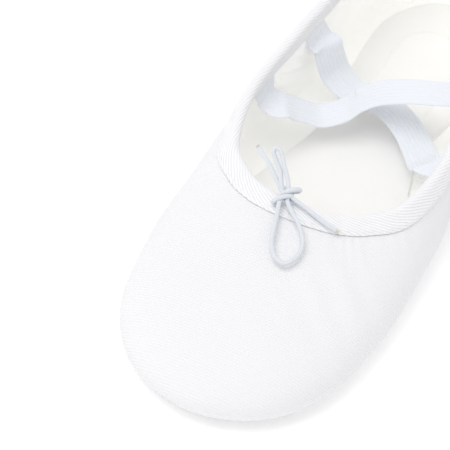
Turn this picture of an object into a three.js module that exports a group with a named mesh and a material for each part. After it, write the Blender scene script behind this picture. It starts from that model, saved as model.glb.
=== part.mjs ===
// A canvas split-sole ballet slipper: the right-and-left symmetric kind, closed by a drawstring
// in the bound top line and by two crossed elastic straps.
// Millimetres.  The toe points to -Y, the heel to +Y and +Z is up.  The slipper stands on Z = 0.
import * as THREE from 'three';

// ---------------------------------------------------------------------------------------------
// Driving dimensions
// ---------------------------------------------------------------------------------------------
const slipper_length = 235;       // toe to heel, over the canvas
const ball_width = 86;            // widest, at the ball of the foot
const waist_width = 63;           // at the arch
const heel_width = 56;            // at the heel
const belly_height = 9;           // height at which the upper is widest

const vamp_length = 77;           // toe tip to the throat
const mouth_width = 71;           // widest part of the top line
const throat_height = 31;         // top line at the throat
const heel_height = 55;           // top line at the back seam
const heel_lean = 5.5;            // how far the back seam leans in towards the top

const outsole_thickness = 1.5;
const canvas_thickness = 0.8;
const lining_thickness = 0.6;
const insole_thickness = 1.2;
const layer_gap = 0.3;            // clearance between sewn layers

const binding_thickness = 0.7;
const binding_leg = 4.9;          // how far each leg of the folded tape reaches down the wall
const cord_diameter = 1.6;        // the elastic drawstring

const strap_width = 12;
const strap_thickness = 1;

const front_sole_end = 5;         // Y where the front sole patch ends
const heel_sole_start = 42;       // Y where the heel sole patch starts
const side_seam = 17 / 3;         // station of the side seams
const seam_gap = 0.012;           // share of a station left open at each seam edge
const steps_per_station = 3;

// ---------------------------------------------------------------------------------------------
// Worked out from them
// ---------------------------------------------------------------------------------------------
const half_wall = (canvas_thickness + layer_gap + lining_thickness) / 2;
const cord_radius = cord_diameter / 2;
const roll_inner = half_wall + layer_gap;              // inside of the binding, from mid wall
const roll_outer = roll_inner + binding_thickness;     // outside of the binding
const edge_drop = cord_radius + layer_gap;             // cloth edges stop this far under the cord
const floor_height = outsole_thickness + layer_gap + half_wall;

const toe_y = -slipper_length / 2 + half_wall;
const heel_y = slipper_length / 2 - half_wall;
const wall_length = heel_y - toe_y;
const ball_half = ball_width / 2 - half_wall;
const waist_half = waist_width / 2 - half_wall;
const heel_half = heel_width / 2 - half_wall;
const mouth_half = mouth_width / 2;
const throat_y = -slipper_length / 2 + vamp_length;
const mouth_length = heel_y - heel_lean - throat_y;
const top_rise = heel_height - throat_height;
const spine_front = toe_y + ball_half;                 // the middle line that the floor shrinks to
const spine_back = heel_y - 1.4 * heel_half;

// ---------------------------------------------------------------------------------------------
// Stations from the toe round the +X side to the heel.
// wall: the widest line of the upper, as a half-width and a share of the length.
// roll: how far the upper rounds in under the foot.  turn: how far its edge is turned under.
// top: the top line, as shares of the mouth's half-width, of its length and of its rise.
// ---------------------------------------------------------------------------------------------
const stations = [
  { wall: [0, 0], roll: 9.5, turn: 13, top: [0, 0, 0] },
  { wall: [0.54 * ball_half, 0.034], roll: 9, turn: 12, top: [0.183, 0.003, -0.01] },
  { wall: [0.87 * ball_half, 0.118], roll: 9, turn: 12, top: [0.38, 0.016, -0.04] },
  { wall: [0.995 * ball_half, 0.243], roll: 8.5, turn: 12, top: [0.604, 0.049, -0.065] },
  { wall: [ball_half, 0.37], roll: 9, turn: 15, top: [0.865, 0.118, -0.035] },
  { wall: [0.935 * ball_half, 0.502], roll: 14, turn: 30, top: [1, 0.267, 0.105] },
  { wall: [1.03 * waist_half, 0.626], roll: 12.5, turn: 30, top: [0.9, 0.445, 0.37] },
  { wall: [0.96 * waist_half, 0.753], roll: 7, turn: 11, top: [0.77, 0.642, 0.546] },
  { wall: [heel_half, 0.881], roll: 5.5, turn: 10, top: [0.646, 0.833, 0.727] },
  { wall: [0.58 * heel_half, 0.974], roll: 8, turn: 11, top: [0.323, 0.965, 0.94] },
  { wall: [0, 1], roll: 9, turn: 12, top: [0, 1, 1] },
];
const station_count = 2 * (stations.length - 1);
const heel_station = stations.length - 1;
const centre_gap = 0.4;           // the turned edges stop this far from the middle line
const top_pull = 0.45;            // how far the wall's curve reaches out below the top line
const top_steepness = 0.3;        // share of the rise that is left at that reach
const top_slope = 0.025;
const belly_pull = 0.55;          // roundness at the widest line

function toward_spine(point, distance) {
  const spine_y = Math.min(Math.max(point.y, spine_front), spine_back);
  const inward = new THREE.Vector3(-point.x, spine_y - point.y, 0).normalize();
  return point.clone().addScaledVector(inward, distance);
}

function closed_rail(point_of) {
  const half = stations.map(point_of);
  const mirrored = half.slice(1, -1).reverse();
  const other_half = mirrored.map((point) => new THREE.Vector3(-point.x, point.y, point.z));
  return new THREE.CatmullRomCurve3([...half, ...other_half], true, 'catmullrom', 0.5);
}

function wall_station({ wall }) {
  return new THREE.Vector3(wall[0], toe_y + wall[1] * wall_length, belly_height);
}

function floor_station(station) {
  const point = toward_spine(wall_station(station), station.roll);
  point.z = floor_height;
  return point;
}

function turn_station(station) {
  const reach = Math.min(station.turn, 0.999 * Math.abs(floor_station(station).x) || station.turn);
  return toward_spine(floor_station(station), reach);
}

function top_station({ top }) {
  const [across, along, rise] = top;
  return new THREE.Vector3(across * mouth_half, throat_y + along * mouth_length,
    throat_height + rise * top_rise);
}

const wall_rail = closed_rail(wall_station);
const floor_rail = closed_rail(floor_station);
const turn_rail = closed_rail(turn_station);
const top_rail = closed_rail(top_station);

function rail_point(rail, station) {
  return rail.getPoint(((station / station_count) % 1 + 1) % 1);
}

// ---------------------------------------------------------------------------------------------
// The middle surface of the upper, as rows of points down from the top line.
// Row 0 is the cord's centre, rows 1 to leg_row lie under the binding, then come the wall, the
// round below it, the floor and the edge turned under.
// ---------------------------------------------------------------------------------------------
const leg_row = 3;
const wall_rows = 4;
const round_rows = 3;
const belly_row = leg_row + wall_rows;
const floor_row = belly_row + round_rows;
const turn_row = floor_row + 2;
const lining_row = floor_row + 1;

function wall_curve(station) {
  const top = rail_point(top_rail, station);
  const wall = rail_point(wall_rail, station);
  const across = new THREE.Vector3(wall.x - top.x, wall.y - top.y, 0);
  const rise = top.z - wall.z;
  const below_top = top.clone().addScaledVector(across, top_pull);
  below_top.z -= top_steepness * rise + top_slope * across.length();
  const above_wall = wall.clone();
  above_wall.z += belly_pull * rise;
  return new THREE.CubicBezierCurve3(top, below_top, above_wall, wall);
}

function round_curve(station) {
  const wall = rail_point(wall_rail, station);
  const floor = rail_point(floor_rail, station);
  const below_wall = wall.clone();
  below_wall.z -= belly_pull * (wall.z - floor.z);
  const beside_floor = floor.clone().lerp(new THREE.Vector3(wall.x, wall.y, floor.z), belly_pull);
  return new THREE.CubicBezierCurve3(wall, below_wall, beside_floor, floor);
}

function turned_edge(station) {
  const floor = rail_point(floor_rail, station);
  const turn = rail_point(turn_rail, station);
  const side = Math.sign(floor.x) || 1;
  turn.x = side * Math.max(side * turn.x, Math.min(centre_gap, Math.abs(floor.x)));
  return turn;
}

function point_down_wall(station, distance) {
  const curve = wall_curve(station);
  return curve.getPointAt(distance / curve.getLength());
}

function meridian(station) {
  const curve = wall_curve(station);
  const length = curve.getLength();
  const leg_end = edge_drop + binding_leg;
  const rows = [curve.getPoint(0)];
  for (let row = 1; row <= leg_row; row += 1) {
    const distance = edge_drop + binding_leg * (row - 1) / (leg_row - 1);
    rows.push(curve.getPointAt(distance / length));
  }
  for (let row = 1; row <= wall_rows; row += 1) {
    const distance = leg_end + (length - leg_end) * row / wall_rows;
    rows.push(curve.getPointAt(Math.min(distance / length, 1)));
  }
  const round = round_curve(station);
  for (let row = 1; row <= round_rows; row += 1) {
    rows.push(round.getPointAt(row / round_rows));
  }
  const floor = rows[floor_row];
  const turn = turned_edge(station);
  rows.push(floor.clone().lerp(turn, 0.5));
  rows.push(turn);
  return rows;
}

// Unit normals of the middle surface along one meridian, pointing out of the slipper.
function meridian_normals(station) {
  const nudge = 0.02;
  const before = meridian(station - nudge);
  const after = meridian(station + nudge);
  const rows = meridian(station);
  return rows.map((point, row) => {
    const up = rows[Math.max(row - 1, 0)];
    const down = rows[Math.min(row + 1, rows.length - 1)];
    const round = after[row].clone().sub(before[row]);
    return round.cross(up.clone().sub(down)).normalize();
  });
}

function offset_row(station, row, offset) {
  return meridian(station)[row].addScaledVector(meridian_normals(station)[row], offset);
}

// ---------------------------------------------------------------------------------------------
// Mesh building
// ---------------------------------------------------------------------------------------------
function station_steps(first, last) {
  const list = [first];
  let step = Math.floor(first * steps_per_station) + 1;
  while (step / steps_per_station < last - 0.05) {
    if (step / steps_per_station > first + 0.05) {
      list.push(step / steps_per_station);
    }
    step += 1;
  }
  list.push(last);
  return list;
}

// A solid swept through closed sections that all have the same number of points.  The second half
// of a section runs back beside the first, and both are split along the same diagonals, so that
// layers nest without touching.
function sweep(sections, closed) {
  const positions = [];
  const indices = [];
  const size = sections[0].length;
  sections.forEach((section) => section.forEach((point) => positions.push(point.x, point.y, point.z)));
  const spans = closed ? sections.length : sections.length - 1;
  for (let span = 0; span < spans; span += 1) {
    const next = (span + 1) % sections.length;
    for (let corner = 0; corner < size; corner += 1) {
      const beside = (corner + 1) % size;
      const [a, b] = [span * size + corner, span * size + beside];
      const [c, d] = [next * size + beside, next * size + corner];
      if (corner < size / 2) {
        indices.push(a, b, c, a, c, d);
      } else {
        indices.push(a, b, d, b, c, d);
      }
    }
  }
  if (!closed) {
    add_caps(indices, size, (sections.length - 1) * size);
  }
  const geometry = new THREE.BufferGeometry();
  geometry.setAttribute('position', new THREE.Float32BufferAttribute(positions, 3));
  geometry.setIndex(indices);
  return outward(geometry);
}

// End caps for a section whose first half runs one way and whose second half runs back beside it.
function add_caps(indices, size, last) {
  for (let corner = 0; corner < size / 2 - 1; corner += 1) {
    const [a, b] = [corner, corner + 1];
    const [c, d] = [size - 2 - corner, size - 1 - corner];
    indices.push(a, c, b, a, d, c);
    indices.push(last + a, last + b, last + c, last + a, last + c, last + d);
  }
}

function signed_volume(geometry) {
  const position = geometry.getAttribute('position');
  const index = geometry.getIndex();
  const corner = (place) => new THREE.Vector3().fromBufferAttribute(position, index.getX(place));
  let volume = 0;
  for (let place = 0; place < index.count; place += 3) {
    volume += corner(place).dot(corner(place + 1).cross(corner(place + 2)));
  }
  return volume;
}

function outward(geometry) {
  if (signed_volume(geometry) < 0) {
    geometry.setIndex(Array.from(geometry.getIndex().array).reverse());
  }
  geometry.computeVertexNormals();
  return geometry;
}

// A layer of the upper between two offsets from the middle surface.
function layer(first, last, top_row, bottom_row, inner_offset, outer_offset) {
  const sections = station_steps(first, last).map((station) => {
    const points = meridian(station);
    const normals = meridian_normals(station);
    const outside = [];
    const inside = [];
    for (let row = top_row; row <= bottom_row; row += 1) {
      outside.push(points[row].clone().addScaledVector(normals[row], outer_offset));
      inside.push(points[row].clone().addScaledVector(normals[row], inner_offset));
    }
    return [...outside, ...inside.reverse()];
  });
  return sweep(sections, false);
}

// A round tube along a curve.
function cord_tube(points, steps) {
  const section = new THREE.Shape();
  section.absarc(0, 0, cord_radius, 0, 2 * Math.PI);
  return new THREE.ExtrudeGeometry(section, {
    steps,
    curveSegments: 8,
    bevelEnabled: false,
    extrudePath: new THREE.CatmullRomCurve3(points),
  });
}

// A flat band along a path; each stop gives a point and the direction of the band's width.
function band(stops, steps) {
  const path = new THREE.CatmullRomCurve3(stops.map((stop) => stop.point));
  const widths = new THREE.CatmullRomCurve3(stops.map((stop) => stop.across));
  const sections = [];
  for (let step = 0; step <= steps; step += 1) {
    const point = path.getPoint(step / steps);
    const tangent = path.getTangent(step / steps);
    const across = widths.getPoint(step / steps);
    across.addScaledVector(tangent, -across.dot(tangent)).setLength(strap_width / 2);
    const up = tangent.clone().cross(across).setLength(strap_thickness / 2);
    sections.push([
      point.clone().add(across).add(up),
      point.clone().sub(across).add(up),
      point.clone().sub(across).sub(up),
      point.clone().add(across).sub(up),
    ]);
  }
  return sweep(sections, false);
}

// A flat plate on an outline of points in plan.
function plate(outline, bottom, thickness) {
  const shape = new THREE.Shape(outline.map((point) => new THREE.Vector2(point.x, point.y)));
  const geometry = new THREE.ExtrudeGeometry(shape, { depth: thickness, bevelEnabled: false });
  geometry.translate(0, 0, bottom);
  return geometry;
}

const slipper = new THREE.Group();

function add_part(name, geometry, material) {
  const mesh = new THREE.Mesh(geometry, material);
  mesh.name = name;
  slipper.add(mesh);
  return mesh;
}

// ---------------------------------------------------------------------------------------------
// Materials
// ---------------------------------------------------------------------------------------------
function cloth(color, roughness) {
  return new THREE.MeshStandardMaterial({ color, roughness, metalness: 0 });
}
const canvas_cloth = cloth(0xf2f0f2, 0.9);
const lining_cloth = cloth(0xefe6d8, 0.9);
const sock_cloth = cloth(0xf4ecdf, 0.9);
const binding_cloth = cloth(0xf4f3f5, 0.8);
const cord_elastic = cloth(0xeef1f6, 0.7);
const strap_elastic = cloth(0xeef1f7, 0.6);
const suede = cloth(0xd9cdbd, 1);
const foam = cloth(0xf0ead8, 1);

// ---------------------------------------------------------------------------------------------
// Outsole patches, cushions and insole
// ---------------------------------------------------------------------------------------------
function inside_outline(rail, inset, first_y, last_y) {
  const outline = [];
  for (let step = 0; step < station_count * steps_per_station; step += 1) {
    const point = toward_spine(rail_point(rail, step / steps_per_station), inset);
    if (point.y >= first_y && point.y <= last_y) {
      outline.push(point);
    }
  }
  return outline;
}

// A patch's straight end is bowed: its middle reaches past its corners.
function patch_outline(inset, first_y, last_y) {
  const corner_depth = 9;
  const whole = inside_outline(floor_rail, inset, -slipper_length, slipper_length);
  const ends_behind = last_y < heel_y;
  const limit = ends_behind ? last_y - corner_depth : first_y + corner_depth;
  const kept = whole.filter((point) => (ends_behind ? point.y <= limit : point.y >= limit));
  const left = kept.filter((point) => point.x < 0).sort((p, q) => p.y - q.y);
  const right = kept.filter((point) => point.x >= 0).sort((p, q) => p.y - q.y);
  const corner = ends_behind ? right[right.length - 1] : right[0];
  const tip_y = ends_behind ? last_y : first_y;
  const bow = [];
  const bow_steps = 8;
  for (let step = 1; step < bow_steps; step += 1) {
    const angle = Math.PI * step / bow_steps;
    bow.push(new THREE.Vector3(
      Math.cos(angle) * corner.x,
      corner.y + Math.sin(angle) * (tip_y - corner.y),
      0,
    ));
  }
  const around = ends_behind
    ? [...left.reverse(), ...right, ...bow]
    : [...left, ...right.reverse(), ...bow];
  return around;
}

const sole_proud = 1.5;           // the sole patches stand this far outside the floor line
add_part('outsole_front', plate(patch_outline(-sole_proud, toe_y, front_sole_end), 0,
  outsole_thickness), suede);
add_part('outsole_heel', plate(patch_outline(-sole_proud, heel_sole_start, slipper_length), 0,
  outsole_thickness), suede);

const cushion_clearance = 0.8;
const cushion_thickness = 2 * half_wall;
const cushion_bottom = outsole_thickness + layer_gap;
const cushion_front_end = -22;    // Y limits of the two cushions
const cushion_heel_start = 66;
add_part('forefoot_cushion', plate(inside_outline(turn_rail, cushion_clearance, toe_y,
  cushion_front_end), cushion_bottom, cushion_thickness), foam);
add_part('heel_cushion', plate(inside_outline(turn_rail, cushion_clearance, cushion_heel_start,
  heel_y), cushion_bottom, cushion_thickness), foam);

const insole_inset = 0.8;
const insole_bottom = floor_height + half_wall + layer_gap;
add_part('insole_sock', plate(inside_outline(floor_rail, insole_inset, toe_y, heel_y),
  insole_bottom, insole_thickness), sock_cloth);

// ---------------------------------------------------------------------------------------------
// Canvas and lining: a vamp round the toe and two quarters that meet at the back seam
// ---------------------------------------------------------------------------------------------
const canvas_inside = half_wall - canvas_thickness;
const lining_outside = lining_thickness - half_wall;
const quarter_start = side_seam + seam_gap;
const quarter_end = heel_station - seam_gap;

function upper_pieces(name, bottom_row, inner_offset, outer_offset, material) {
  const piece = (first, last) => layer(first, last, 1, bottom_row, inner_offset, outer_offset);
  add_part(`vamp_${name}`, piece(-side_seam, side_seam), material);
  add_part(`quarter_${name}_right`, piece(quarter_start, quarter_end), material);
  add_part(`quarter_${name}_left`, piece(-quarter_end, -quarter_start), material);
}
upper_pieces('canvas', turn_row, canvas_inside, half_wall, canvas_cloth);
upper_pieces('lining', lining_row, -half_wall, lining_outside, lining_cloth);

const tape_half_stations = 0.36;
const tape_thickness = 0.5;
add_part('heel_seam_tape', layer(heel_station - tape_half_stations,
  heel_station + tape_half_stations, leg_row + 1, belly_row,
  -half_wall - layer_gap - tape_thickness, -half_wall - layer_gap), lining_cloth);

// ---------------------------------------------------------------------------------------------
// Binding folded over the top line, and the drawstring inside its fold
// ---------------------------------------------------------------------------------------------
const throat_opening = 0.3;       // stations each side of the throat where the binding is open

// Half a turn over the top line, from the outside to the inside.
function roll_arc(station, radius, steps) {
  const [centre, below] = meridian(station);
  const normal = meridian_normals(station)[0];
  const up = centre.clone().sub(below).normalize();
  const arc = [];
  for (let step = 0; step <= steps; step += 1) {
    const angle = Math.PI * step / steps;
    arc.push(centre.clone()
      .addScaledVector(normal, radius * Math.cos(angle))
      .addScaledVector(up, radius * Math.sin(angle)));
  }
  return arc;
}

function binding_face(station, radius) {
  const points = meridian(station);
  const normals = meridian_normals(station);
  const outer_leg = [];
  const inner_leg = [];
  for (let row = 1; row <= leg_row; row += 1) {
    outer_leg.push(points[row].clone().addScaledVector(normals[row], radius));
    inner_leg.push(points[row].clone().addScaledVector(normals[row], -radius));
  }
  return [...outer_leg.reverse(), ...roll_arc(station, radius, 4), ...inner_leg];
}

function binding_section(station) {
  const outside = binding_face(station, roll_outer);
  const inside = binding_face(station, roll_inner);
  return [...outside, ...inside.reverse()];
}
const binding_stations = station_steps(throat_opening, station_count - throat_opening);
add_part('topline_binding', sweep(binding_stations.map(binding_section), false), binding_cloth);

function cord_section(station) {
  const [centre, below] = meridian(station);
  const normal = meridian_normals(station)[0];
  const up = centre.clone().sub(below).normalize();
  const sides = 8;
  const section = [];
  for (let side = 0; side < sides; side += 1) {
    const angle = 2 * Math.PI * side / sides;
    section.push(centre.clone()
      .addScaledVector(normal, cord_radius * Math.cos(angle))
      .addScaledVector(up, cord_radius * Math.sin(angle)));
  }
  return section;
}
add_part('drawstring_in_casing', sweep(binding_stations.map(cord_section), false), cord_elastic);

// ---------------------------------------------------------------------------------------------
// The bow at the throat: a knot, two loops and two cut ends of the same drawstring
// ---------------------------------------------------------------------------------------------
const throat = rail_point(top_rail, 0);
const knot_radii = [2.6, 2.3, 2.1];
const knot_lift = 1.3;            // the cord's underside above the binding, at the knot
const knot_centre = new THREE.Vector3(throat.x - 3, throat.y - 0.5,
  throat.z + roll_outer + layer_gap + knot_lift + cord_radius);

function from_knot(offsets) {
  return offsets.map(([x, y, z]) => new THREE.Vector3(x, y, z).add(knot_centre));
}

function add_knot() {
  const knot = add_part('bow_knot', new THREE.SphereGeometry(1, 12, 8), cord_elastic);
  knot.scale.set(...knot_radii);
  knot.position.copy(knot_centre);
}
add_knot();

const front_loop = [[-1.1, -2.6, -0.6], [0, -6.8, -2.2], [1.3, -11.6, -3.5], [3.5, -18, -5],
  [7.1, -22.2, -5.8], [10.4, -22.8, -6], [12.8, -19, -5.3], [12.4, -13.6, -4.1], [8.4, -8, -2.6],
  [4, -4.6, -1.5], [1.4, -2.3, -0.6]];
const back_loop = [[-2.4, 1.2, 1.6], [-5, 4.4, 4.6], [-8.2, 6.4, 7.6], [-9.7, 7.3, 9.5],
  [-8.3, 8, 10.2], [-6.6, 7.4, 8.8], [-4.3, 5.7, 6.2], [-2, 3.7, 3.8], [-0.6, 1.7, 2.4]];
const left_end = [[-3.2, -0.4, 0.4], [-6.4, 0.6, 1.6], [-10.6, 3.4, 3], [-14, 7, 4.6],
  [-16, 10.4, 6]];
const right_end = [[3.2, -0.2, -0.2], [7, -0.4, -1], [12, -0.6, -2], [16.4, -0.2, -3],
  [20.2, 0.6, -3.6]];

add_part('bow_loop_front', cord_tube(from_knot(front_loop), 24), cord_elastic);
add_part('bow_loop_back', cord_tube(from_knot(back_loop), 14), cord_elastic);
add_part('bow_end_left', cord_tube(from_knot(left_end), 6), cord_elastic);
add_part('bow_end_right', cord_tube(from_knot(right_end), 6), cord_elastic);

// ---------------------------------------------------------------------------------------------
// Crossed elastic straps: each has two sewn tabs on the lining and a slack span between them,
// which swings about the line between the tabs.  A span's ends are square to that line.
// ---------------------------------------------------------------------------------------------
const tab_clearance = 0.95;       // a flat tab needs this much room on the curved wall
const tab_offset = -(half_wall + tab_clearance + strap_thickness / 2);
const tab_top = edge_drop + binding_leg + 2.4;         // distances down the wall from the cord
const tab_bottom = tab_top + 8;
const hinge_drop = tab_top + 2.9;
const hinge_clearance = 1.2;      // between a tab and the nearer corner of the span's end

function wall_side(station, distance, offset) {
  const nudge = 0.02;
  const point = point_down_wall(station, distance);
  const round = point_down_wall(station + nudge, distance).sub(point);
  const up = point_down_wall(station, distance - 1).sub(point);
  return point.clone().addScaledVector(round.cross(up).normalize(), offset);
}

// Direction of the top line at a tab, towards the heel.
function along_wall(station) {
  const nudge = 0.2;
  const ahead = point_down_wall(station + nudge, tab_top);
  const behind = point_down_wall(station - nudge, tab_top);
  const along = ahead.sub(behind).normalize();
  return along.multiplyScalar(Math.sign(along.y));
}

// Where a span ends: far enough from its tab for the slanted end to turn.
function hinge_point(station, line) {
  const slant = strap_width / 2 * Math.abs(along_wall(station).dot(line));
  const stand_off = strap_thickness + slant + hinge_clearance;
  return wall_side(station, hinge_drop, tab_offset - stand_off);
}

function add_tab(name, station) {
  const across = along_wall(station);
  const stops = [tab_top, tab_bottom].map((distance) => (
    { point: wall_side(station, distance, tab_offset), across }));
  add_part(name, band(stops, 2), strap_elastic);
}

// sag: points between the two hinges, each as a share of the way, a drop below the line between
// them and a shift towards the heel.
function add_strap(name, left_station, right_station, sag) {
  const direction = wall_side(right_station, hinge_drop, tab_offset)
    .sub(wall_side(left_station, hinge_drop, tab_offset)).normalize();
  const left = hinge_point(left_station, direction);
  const right = hinge_point(right_station, direction);
  const line = right.clone().sub(left);
  const across = new THREE.Vector3(-line.y, line.x, 0).normalize();
  const between = sag.map(([share, drop, shift]) => {
    const point = left.clone().addScaledVector(line, share);
    point.z -= drop;
    point.y += shift;
    return point;
  });
  const stops = [left, ...between, right].map((point) => ({ point, across }));
  const span = add_part(`${name}_span`, band(stops, 20), strap_elastic);
  span.userData.swings_about = [left.toArray(), right.toArray()];
  add_tab(`${name}_tab_left`, left_station);
  add_tab(`${name}_tab_right`, right_station);
}

const front_tab_station = 5.33;
const back_tab_station = 6.33;
const upper_sag = [[0.03, 0.3, 0.6], [0.09, 5, 4], [0.222, 10.6, 6.2], [0.342, 9.5, 7.2],
  [0.42, 6, 8.2], [0.526, 3, 7.6], [0.724, 0.3, 4], [0.88, -0.2, 1.2]];
const lower_sag = [[0.03, 4, 0.8], [0.09, 11.5, 3.5], [0.2, 15, 6.9], [0.344, 14.8, 10.7],
  [0.514, 13.6, 14.4], [0.682, 13.6, 14.3], [0.794, 13.8, 12.2], [0.88, 11.5, 8.5],
  [0.94, 5, 3], [0.98, 0.8, 0.4]];
add_strap('strap_upper', -front_tab_station, back_tab_station, upper_sag);
add_strap('strap_lower', -back_tab_station, front_tab_station, lower_sag);

export default slipper;
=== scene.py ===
"""How the ballet slipper looks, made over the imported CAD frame.

The toe points to -Y, the heel to +Y and +Z is up.  Shapes are worked out in millimetres and
turned into metres when their meshes are made.  Stations run from 0 at the toe round the +X side
to 10 at the heel, and on round the -X side to 20, which is the toe again.
"""
import math

import bmesh
import bpy
import numpy as np
from mathutils import Matrix, Vector


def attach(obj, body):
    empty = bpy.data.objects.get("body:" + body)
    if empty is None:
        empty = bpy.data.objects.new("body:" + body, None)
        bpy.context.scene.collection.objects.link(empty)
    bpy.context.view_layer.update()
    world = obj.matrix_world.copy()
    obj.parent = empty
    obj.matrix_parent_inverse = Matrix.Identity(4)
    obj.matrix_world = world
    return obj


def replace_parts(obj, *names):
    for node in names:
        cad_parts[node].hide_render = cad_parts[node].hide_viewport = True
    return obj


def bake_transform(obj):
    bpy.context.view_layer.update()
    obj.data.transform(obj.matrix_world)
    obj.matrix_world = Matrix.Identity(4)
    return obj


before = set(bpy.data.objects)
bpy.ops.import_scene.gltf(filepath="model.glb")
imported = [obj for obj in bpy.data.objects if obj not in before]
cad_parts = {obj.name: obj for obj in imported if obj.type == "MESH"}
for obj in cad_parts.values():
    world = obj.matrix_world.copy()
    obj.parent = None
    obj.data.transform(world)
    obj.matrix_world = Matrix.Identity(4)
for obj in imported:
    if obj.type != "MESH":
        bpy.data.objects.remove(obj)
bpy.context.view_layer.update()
rng = np.random.default_rng(7)

MM = 0.001

# Dimensions of the frame, in millimetres
SLIPPER_LENGTH = 235
BALL_WIDTH = 86
WAIST_WIDTH = 63
HEEL_WIDTH = 56
BELLY_HEIGHT = 9
VAMP_LENGTH = 77
MOUTH_WIDTH = 71
THROAT_HEIGHT = 31
HEEL_HEIGHT = 55
HEEL_LEAN = 5.5
HALF_WALL = 0.85              # half of canvas, gap and lining together
OUTSOLE_THICKNESS = 1.5
LAYER_GAP = 0.3
EDGE_DROP = 1.1               # the cloth's edge below the drawstring's centre
BINDING_LEG = 4.9
ROLL_OUTER = 1.85             # outer and inner radius of the binding over the top line
ROLL_INNER = 1.15
CORD_RADIUS = 0.8
STRAP_WIDTH = 12
STRAP_THICKNESS = 1
SIDE_SEAM = 17 / 3
SEAM_GAP = 0.012              # stations left open at each seam of the canvas
LINING_SEAM_GAP = 0.002       # and at each seam of the lining
THROAT_OPENING = 0.3          # stations each side of the throat that the hidden cord leaves free

FLOOR_HEIGHT = OUTSOLE_THICKNESS + LAYER_GAP + HALF_WALL
TOE_Y = -SLIPPER_LENGTH / 2 + HALF_WALL
HEEL_Y = SLIPPER_LENGTH / 2 - HALF_WALL
BALL_HALF = BALL_WIDTH / 2 - HALF_WALL
WAIST_HALF = WAIST_WIDTH / 2 - HALF_WALL
HEEL_HALF = HEEL_WIDTH / 2 - HALF_WALL
THROAT_Y = -SLIPPER_LENGTH / 2 + VAMP_LENGTH
SPINE = (TOE_Y + BALL_HALF, HEEL_Y - 1.4 * HEEL_HALF)

WALL_STEPS = 110              # points down each part of a meridian
ROUND_STEPS = 40
FLAT_STEPS = 20

# For each station: half-width and share of the length of the widest line, how far the upper
# rounds in under the foot, how far its edge is turned under, and the top line as shares of the
# mouth's half-width, length and rise.
STATIONS = np.array([
    [0, 0, 9.5, 13, 0, 0, 0],
    [0.54 * BALL_HALF, 0.034, 9, 12, 0.183, 0.003, -0.01],
    [0.87 * BALL_HALF, 0.118, 9, 12, 0.38, 0.016, -0.04],
    [0.995 * BALL_HALF, 0.243, 8.5, 12, 0.604, 0.049, -0.065],
    [BALL_HALF, 0.37, 9, 15, 0.865, 0.118, -0.035],
    [0.935 * BALL_HALF, 0.502, 14, 30, 1, 0.267, 0.105],
    [1.03 * WAIST_HALF, 0.626, 12.5, 30, 0.9, 0.445, 0.37],
    [0.96 * WAIST_HALF, 0.753, 7, 11, 0.77, 0.642, 0.546],
    [HEEL_HALF, 0.881, 5.5, 10, 0.646, 0.833, 0.727],
    [0.58 * HEEL_HALF, 0.974, 8, 11, 0.323, 0.965, 0.94],
    [0, 1, 9, 12, 0, 1, 1],
])
HEEL_STATION = 10
ROUND_TRIP = 20

# The binding's slanting ridges, which its mesh and its material share.
RIDGE_PITCH = 0.95
RIDGE_ALONG = 0.42
RIDGE_ACROSS = 0.91


# Camera
def make_camera():
    """A long lens, looking down at the toe from its left-hand side, a little rolled."""
    azimuth, elevation, roll = (math.radians(angle) for angle in (21.495, 45.413, 6.492))
    aim = Vector((-0.02192, -0.04487, 0.015))
    distance = 1.089
    back = Vector((math.sin(azimuth) * math.cos(elevation),
                   -math.cos(azimuth) * math.cos(elevation), math.sin(elevation)))
    right = Vector((math.cos(azimuth), math.sin(azimuth), 0))
    up = back.cross(right)
    rolled_right = math.cos(roll) * right + math.sin(roll) * up
    rolled_up = math.cos(roll) * up - math.sin(roll) * right
    data = bpy.data.cameras.new("camera")
    data.lens = 263.02
    data.sensor_width = 36
    data.clip_start = 0.01
    camera = bpy.data.objects.new("camera", data)
    turn = Matrix((rolled_right, rolled_up, back)).transposed().to_4x4()
    camera.matrix_world = Matrix.Translation(aim + distance * back) @ turn
    bpy.context.scene.collection.objects.link(camera)
    bpy.context.scene.camera = camera


make_camera()


# Small numeric helpers
def smoothstep(low, high, value):
    """0 below low, 1 above high and a smooth S between."""
    share = np.clip((value - low) / (high - low), 0, 1)
    return share * share * (3 - 2 * share)


def bump_at(value, centre, width):
    """A Gaussian bump of height 1."""
    return np.exp(-((value - centre) / width) ** 2)


def unit(vectors):
    """The vectors at length 1."""
    return vectors / np.maximum(np.linalg.norm(vectors, axis=-1, keepdims=True), 1e-12)


def hermite(p1, p2, t1, t2, share):
    """A cubic from p1 to p2 with the tangents t1 and t2."""
    return ((2 * p1 - 2 * p2 + t1 + t2) * share ** 3
            + (-3 * p1 + 3 * p2 - 2 * t1 - t2) * share ** 2 + t1 * share + p1)


def closed_curve(values, place):
    """A closed uniform Catmull-Rom curve through values, at places counted in values."""
    first = np.floor(place).astype(int)
    p0, p1, p2, p3 = (values[(first + step) % len(values)] for step in (-1, 0, 1, 2))
    return hermite(p1, p2, (p2 - p0) / 2, (p3 - p1) / 2, (place - first)[:, None])


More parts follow.
